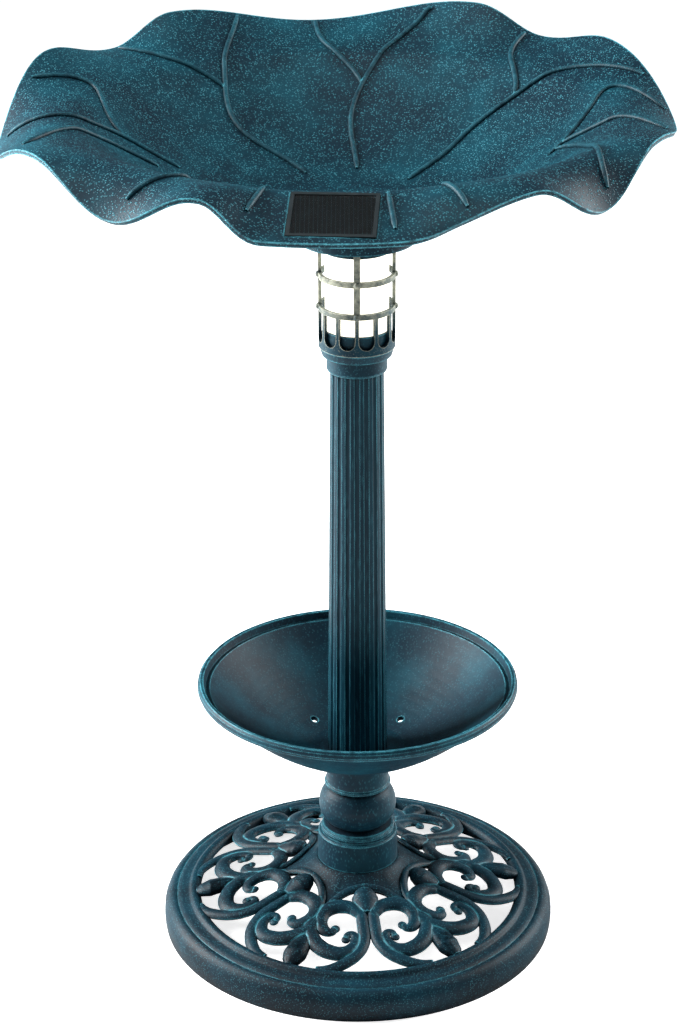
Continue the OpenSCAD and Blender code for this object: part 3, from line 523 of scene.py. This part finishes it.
# The pale cream colour serves as the colour of rubbed edges and specks, and also as the painted glow of the
# lamp's light.
cage_finish_and_painted_glow = verdigris_and_painted_light("cage_finish_and_painted_glow", Pebbles=0.15, Rub=0.8, Edge_width=0.001, Rubbed=(0.60, 0.60, 0.46, 1))
wash = cage_finish_and_painted_glow.node_tree
level = wash.nodes.new("ShaderNodeSeparateXYZ")
wash.links.new(wash.nodes["Texture Coordinate"].outputs["Object"], level.inputs["Vector"])
cage_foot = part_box("lantern_cage")[0].z
# Painted glow: the cage turns paler with height from just above its foot, standing in for the lamp's light
# falling on it.
painted_glow_wash = ramp(wash, level.outputs["Z"], cage_foot + 0.012, cage_foot + 0.05, 0.0, 0.85)
wash.links.new(painted_glow_wash, wash.nodes["Group"].inputs["Extra rub"])
paint("lantern_cage", cage_finish_and_painted_glow)
paint("diffuser", glowing("diffuser_finish", (1.0, 0.95, 0.80), 1.7))


# ------------------------------------------------------------------ basin
# Leaf-shaped basin, press-moulded resin 3.6 mm thick: a flat floor, a wall that steepens to the
# crest, and a ruffled lip that droops outside it. Raised veins run from the lip to the floor.

CREST, DEPTH, LIP, APRON = 0.201, 0.072, 0.052, 0.007
FLOOR_SHARE = 0.25
PANEL_WIDE, PANEL_LONG, FRAME_EDGE = 0.055, 0.045, 0.003
FLOOR_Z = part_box("lamp_housing")[1].z + 0.006
CREST_Z = FLOOR_Z + DEPTH
PANEL_AT, PANEL_FALL = -94, 0.327
LIP_TURNS = ((-178, -2.3), (-148, 0.9), (-130, -1.2), (-115, 1.1), (-84, -0.8), (-60, 0.9), (-45, -1.5),
             (-28, 0.9), (0, -1), (33, 1), (52, -0.3), (66, 1.2), (98, -0.6), (126, 1), (138, -0.6),
             (157, 1), (182, -2.3))


def wave(a):
    """How far the lip's edge rises or droops in direction a, in usual waves."""
    a = (a + 178) % 360 - 178
    for (a0, s0), (a1, s1) in zip(LIP_TURNS, LIP_TURNS[1:]):
        if a <= a1:
            return s0 + (s1 - s0) * (1 - math.cos(math.pi * (a - a0) / (a1 - a0))) / 2
    return 0


def crest(a):
    return CREST - 0.009 * math.cos(math.radians(a))


def edge(a):
    return crest(a) + LIP - 0.006 * math.cos(math.radians(a)) - 0.001 * wave(a) + APRON * flattened(a)


def flattened(a):
    off = abs((a - PANEL_AT + 540) % 360 - 180)
    wide = math.degrees(math.asin((PANEL_WIDE / 2 + 0.008) / CREST))
    return 1 if off < wide else 0 if off > 2 * wide else (1 + math.cos(math.pi * (off - wide) / wide)) / 2


def leaf_height(r, a):
    rim_r = crest(a)
    if r <= rim_r:
        return FLOOR_Z + DEPTH * (max(r / rim_r - FLOOR_SHARE, 0) / (1 - FLOOR_SHARE)) ** 1.5
    v = (r - rim_r) / (edge(a) - rim_r)
    rise = 0.005 + 0.016 * math.sin(math.radians(a)) + 0.012 * wave(a)
    flat = flattened(a)
    return CREST_Z + (0.02 * v * (1 - v) + rise * v * v) * (1 - flat) - PANEL_FALL * (r - rim_r) * flat


def on_leaf(a, r, lift=0.0):
    return (AXIS + r * math.cos(math.radians(a)), r * math.sin(math.radians(a)), leaf_height(r, a) + lift)


SPOKES, RINGS = 360, 92
SOFTEN = 0.004  # distance over which the creases are rounded
WALL, FLOOR_WALL = 0.0036, 0.006
THICK_R, THINS_OVER = 0.050, 0.1
clear_selection()
bpy.ops.mesh.primitive_circle_add(vertices=SPOKES, radius=1 / RINGS, fill_type="TRIFAN")
basin = bpy.context.object
bpy.ops.object.mode_set(mode="EDIT")
bpy.ops.mesh.select_all(action="DESELECT")
bpy.ops.mesh.select_non_manifold()
for ring in range(2, RINGS + 1):
    bpy.ops.mesh.extrude_region_move()
    bpy.ops.transform.resize(value=(ring / (ring - 1), ring / (ring - 1), 1))
bpy.ops.object.mode_set(mode="OBJECT")
thick = basin.vertex_groups.new(name="thick")
for v in basin.data.vertices:
    share, a = math.hypot(v.co.x, v.co.y), math.degrees(math.atan2(v.co.y, v.co.x))
    r = share * edge(a)
    x, y, z = on_leaf(a, r)
    if share < 0.97:
        z = (leaf_height(max(r - SOFTEN, 0), a) + 2 * z + leaf_height(min(r + SOFTEN, edge(a)), a)) / 4
    v.co = (x, y, z)
    thinned = max(WALL / FLOOR_WALL, 1.0 - (r - THICK_R) / THINS_OVER)
    thick.add([v.index], 1.0 if r < THICK_R else thinned, "REPLACE")
if basin.data.polygons[0].normal.z < 0:
    basin.data.flip_normals()
wall = basin.modifiers.new("wall", "SOLIDIFY")
wall.thickness, wall.offset = FLOOR_WALL, -1
wall.vertex_group = "thick"
clear_selection()
basin.select_set(True)
bpy.context.view_layer.objects.active = basin
bpy.ops.object.modifier_apply(modifier="wall")

# the seat that the solar panel is let into, with a well through the wall for the panel's body
PANEL_MID = crest(PANEL_AT) + 0.002 + PANEL_LONG / 2 + FRAME_EDGE
PANEL_Z = CREST_Z - PANEL_FALL * (PANEL_MID - crest(PANEL_AT))
panel_turn = (Matrix.Translation((AXIS, 0, 0)) @ Matrix.Rotation(math.radians(PANEL_AT), 4, "Z")
              @ Matrix.Translation((PANEL_MID, 0, PANEL_Z)) @ Matrix.Rotation(math.atan(PANEL_FALL), 4, "Y"))
SEAT_EDGE = 2 * FRAME_EDGE + 0.0006
for around, low, high in ((SEAT_EDGE, -0.0016, 0.012), (FRAME_EDGE, -0.014, 0.002)):
    clear_selection()
    bpy.ops.mesh.primitive_cube_add(size=1)
    cutter = bpy.context.object
    cutter.data.transform(panel_turn @ Matrix.Translation((0, 0, (low + high) / 2))
                          @ Matrix.Diagonal((PANEL_LONG + around, PANEL_WIDE + around, high - low, 1)))
    cut = basin.modifiers.new("seat", "BOOLEAN")
    cut.object, cut.operation, cut.solver = cutter, "DIFFERENCE", "EXACT"
    clear_selection()
    basin.select_set(True)
    bpy.context.view_layer.objects.active = basin
    bpy.ops.object.modifier_apply(modifier="seat")
    bpy.data.objects.remove(cutter)
basin.vertex_groups.clear()

bowl_finish = verdigris_and_painted_light("bowl_finish", Pebbles=0.62, Pebble_scale=560.0, Rub=1.0)
finish_mesh(basin, "basin", bowl_finish, "basin", ("bowl",), 50)

# Main veins: distance at the outer and the inner end, and the directions passed on the way in
MAIN_VEINS = (
    (255, 80, (113, 123, 131, 120)),
    (250, 80, (75, 85, 92, 90)),
    (235, 70, (18, 36, 43, 48, 50, 55)),
    (262, 135, (182, 183, 176, 176)),
    (235, 145, (4, 17, 10, 0)),
    (257, 150, (201, 194, 187, 185)),
    (250, 200, (-129, -125)),
    (240, 205, (-108, -108)),
    (245, 205, (-84, -84)),
    (240, 200, (-72, -73)))
# Side veins: the main vein they leave, the distance where they leave it, the directions half way
# and at the lip, and the distance at the lip
SIDE_VEINS = ((0, 180, 134, 138, 260), (1, 170, 97, 98, 254), (2, 170, 53, 55, 243),
              (3, 175, 160, 165, 260), (4, 155, -5, -14, 235), (4, 150, -28, -42, 235))


def along(marks, t):
    """A smooth curve through evenly spaced marks; t runs from 0 at the first to 1 at the last."""
    place = t * (len(marks) - 1)
    k = min(int(place), len(marks) - 2)
    t = place - k
    p, q = marks[k], marks[k + 1]
    before, after = marks[max(k - 1, 0)], marks[min(k + 2, len(marks) - 1)]
    return (2 * p + (q - before) * t + (2 * before - 5 * p + 4 * q - after) * t * t
            + (3 * p - before - 3 * q + after) * t ** 3) / 2


def vein(outer, inner, directions):
    steps = max(6, int((outer - inner) / 6))
    route = []
    for k in range(steps + 1):
        a = along(directions, k / steps)
        route.append(on_leaf(a, min((outer + (inner - outer) * k / steps) / 1000, edge(a) - 0.005), 0.0004))
    return strand(route, [0.0024] + [0.0044] * (steps - 1) + [0.0024], sides=2, steps=2)


veins = [vein(*line) for line in MAIN_VEINS]
for parent, leaves, half_way, direction, reach in SIDE_VEINS:
    outer, inner, directions = MAIN_VEINS[parent]
    meets = along(directions, (outer - leaves) / (outer - inner))
    veins.append(vein(reach, leaves, (direction, half_way, meets)))
finish_mesh(joined(veins), "basin_veins", verdigris_and_painted_light("vein_finish", Pebbles=0.2, Rub=1.0, Extra_rub=0.1),
            "basin", (), 80)


# ------------------------------------------------------------------ solar panel
# Dark glass over dark cells in a slim frame, let into the front of the lip. A seal and a plastic back
# close it from below, held by two small screws.

paint("panel_frame", plain("panel_frame_finish", (0.012, 0.022, 0.026), 0.35))
glass = plain("panel_glass_finish", (0.75, 0.82, 0.84), 0.05, grain=0.03, Transmission_Weight=1.0, IOR=1.4)
paint("panel_glass", glass)
cell_finish = plain("cell_finish", (0.003, 0.012, 0.017), 0.45)
grid = cell_finish.node_tree
fingers = put(grid, "ShaderNodeTexWave", bands_direction="X", Scale=105.0)
grid.links.new(grid.nodes["Texture Coordinate"].outputs["Object"], fingers.inputs["Vector"])
cell_shader = grid.nodes["Principled BSDF"]
bare = cell_shader.inputs["Base Color"].links[0].from_socket
lined = blend_colour(grid, ramp(grid, fingers.outputs["Fac"], 0.93, 0.99), bare, (0.03, 0.07, 0.08, 1))
grid.links.new(lined, cell_shader.inputs["Base Color"])
paint("solar_cells", cell_finish)
paint("panel_seal", plain("seal_finish", (0.02, 0.02, 0.02), 0.7))
paint("panel_back", plain("panel_back_finish", (0.02, 0.03, 0.035), 0.5))
paint("panel_screws", plain("panel_screws_finish", (0.55, 0.56, 0.57), 0.3, 1.0))


# ------------------------------------------------------------------ lead
# Black lead from the panel, under the basin and into the side of the lamp housing through a rubber
# grommet.

paint("lead_wire", plain("lead_finish", (0.015, 0.017, 0.018), 0.5))
paint("wire_grommet", plain("grommet_finish", (0.02, 0.02, 0.02), 0.7))


# ------------------------------------------------------------------ lamp housing
# Round resin housing screwed up under the basin's floor, with a cover that drops into the cage and a
# flap at the back for the cell. Inside are the lamp, its board and switch, and one AA cell.

paint("lamp_housing", verdigris_and_painted_light("housing_finish", Pebbles=0.4, Rub=0.5))
paint("housing_cover", verdigris_and_painted_light("cover_finish", Pebbles=0.1, Rub=0.4))
paint("battery_door", verdigris_and_painted_light("door_finish", Pebbles=0.5, Rub=0.6))
for name in ("housing_screws", "cover_screws", "board_screws", "door_pin"):
    paint(name, plain(name + "_finish", (0.55, 0.56, 0.57), 0.3, 1.0))
paint("lens_window", glowing("window_finish", (1.0, 0.93, 0.75), 3.0))
paint("led", glowing("led_finish", (1.0, 0.9, 0.65), 8.0))
paint("led_reflector", plain("reflector_finish", (0.85, 0.85, 0.85), 0.15, 1.0))
paint("circuit_board", plain("board_finish", (0.01, 0.12, 0.04), 0.35))
paint("battery_holder", plain("holder_finish", (0.02, 0.02, 0.02), 0.45))
paint("battery_contacts", plain("contact_finish", (0.7, 0.6, 0.35), 0.3, 1.0))
paint("battery", plain("battery_finish", (0.05, 0.25, 0.1), 0.3))
paint("switch_body", plain("switch_body_finish", (0.02, 0.02, 0.02), 0.5))
paint("switch_slider", plain("switch_slider_finish", (0.75, 0.75, 0.72), 0.4))
